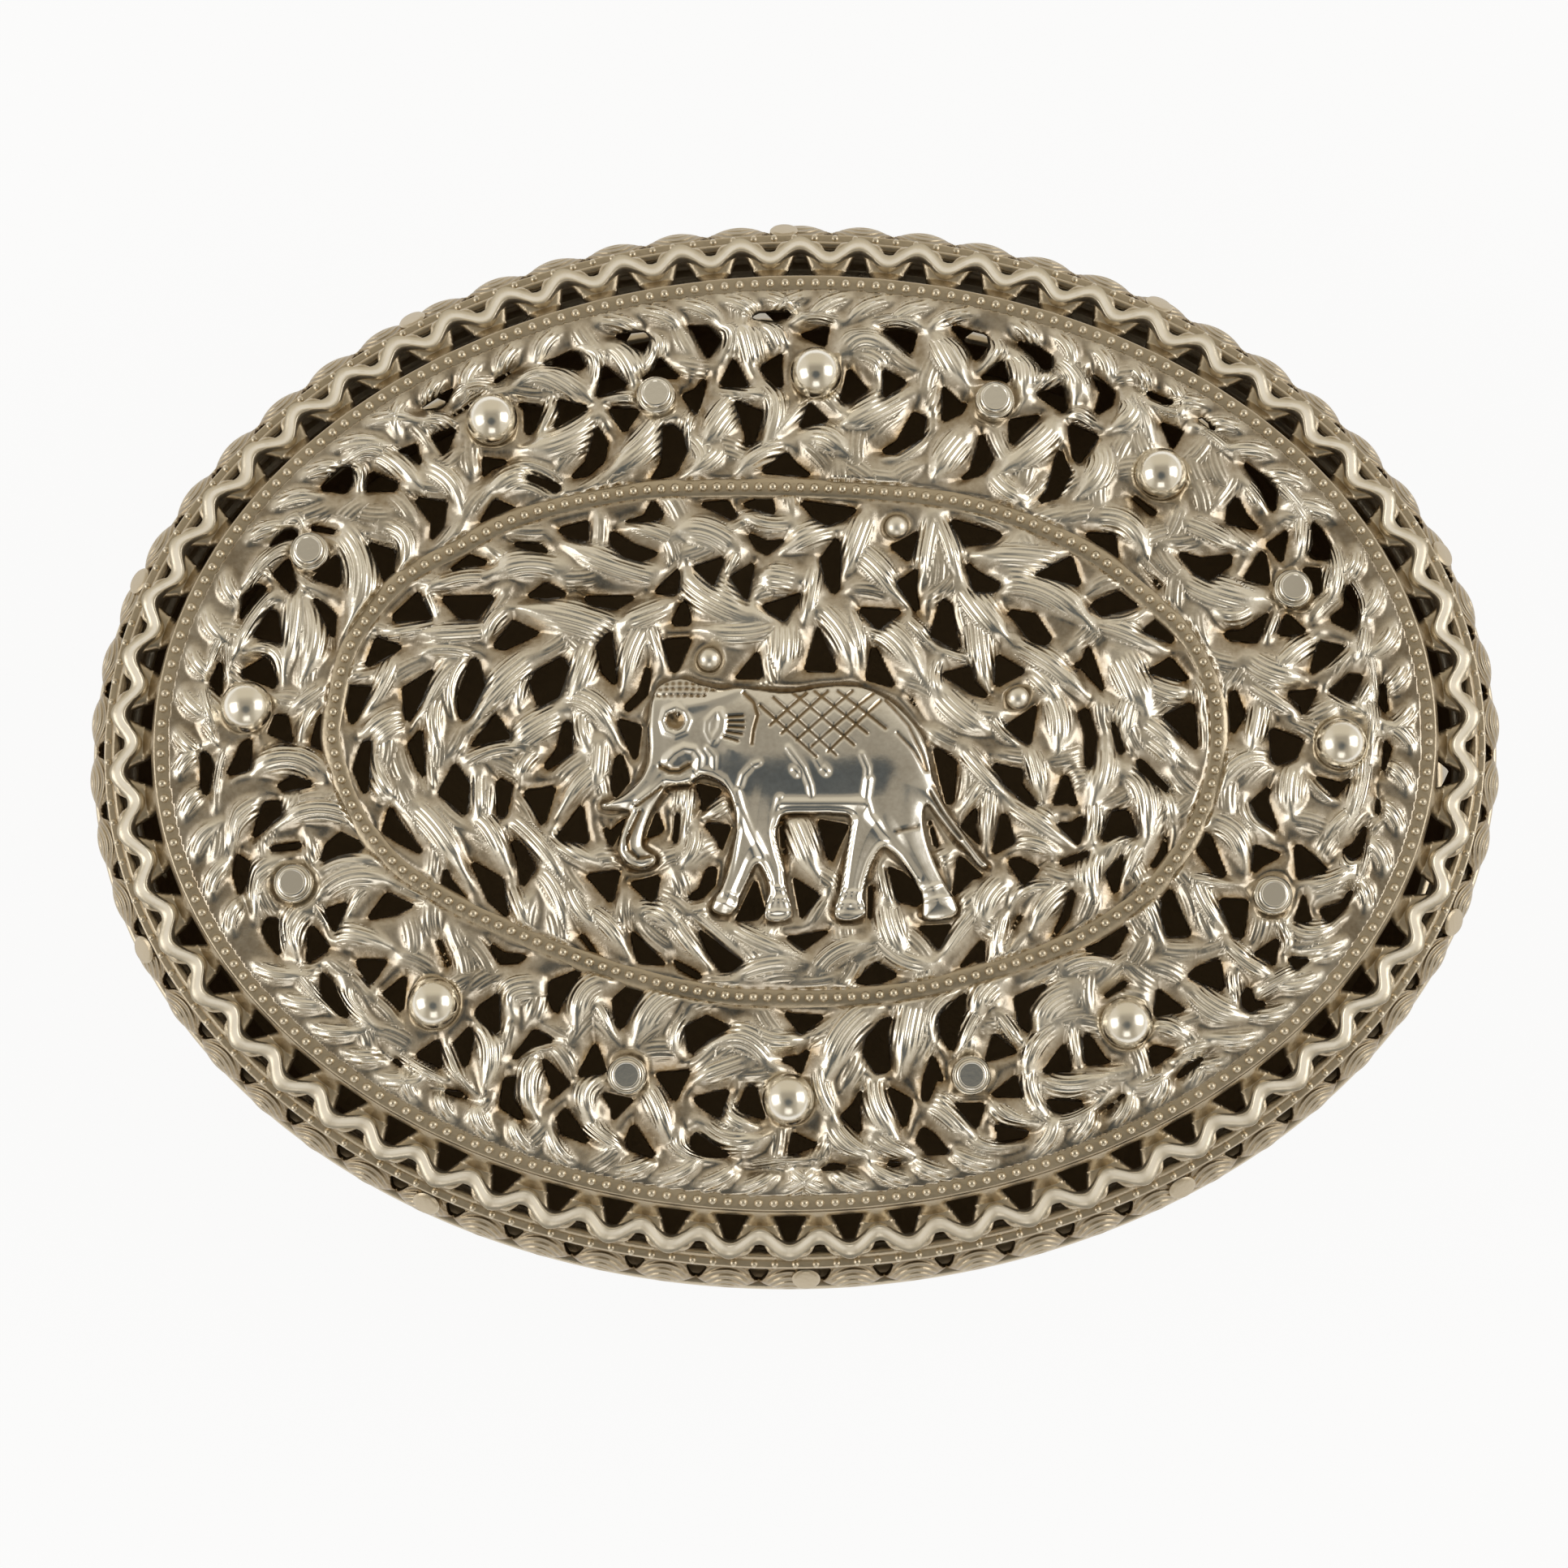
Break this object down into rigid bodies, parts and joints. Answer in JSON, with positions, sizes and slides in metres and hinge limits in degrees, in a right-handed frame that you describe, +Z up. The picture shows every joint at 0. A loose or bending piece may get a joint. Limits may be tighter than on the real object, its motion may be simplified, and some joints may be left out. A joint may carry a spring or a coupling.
{
  "type": "oval silver box",
  "caption": "Oval domed box of chased and pierced silver with a lift-off lid, an elephant among scrolling leaves on top, and a plain collar that the lid sits on.",
  "frame": {"origin": "under the middle of the box, on the surface it stands on", "axes": "+X along the oval's length, +Y across it, +Z up; the elephant stands with its feet towards -Y and faces -X"},
  "size_m": [0.11, 0.085, 0.0368],
  "materials": {
    "chased_silver": "chased silver, warm tarnish in the recesses",
    "polished_silver": "polished silver",
    "plain_silver": "plain silver, lightly tarnished"
  },
  "bodies": {
    "base": {"foot_ring": "plain_silver", "base_floor": "plain_silver", "base_wall": "chased_silver", "base_seat": "plain_silver", "base_bezel": "plain_silver"},
    "lid": {"lid_rim_wire": "plain_silver", "lid_band": "chased_silver", "band_pegs": "polished_silver", "lower_bead_wire": "chased_silver", "lid_shoulder": "chased_silver", "wave_wire": "polished_silver", "upper_bead_wire": "chased_silver", "lid_panel": "chased_silver", "elephant_figure": "polished_silver", "frame_wire": "chased_silver", "berry_studs": "polished_silver", "flower_pegs": "polished_silver", "small_buds": "polished_silver"}
  },
  "joints": [
    {"name": "lid_lift", "type": "slide", "parent": "base", "child": "lid", "axis": [0, 0, 1], "range_m": [0, 0.04]}
  ]
}
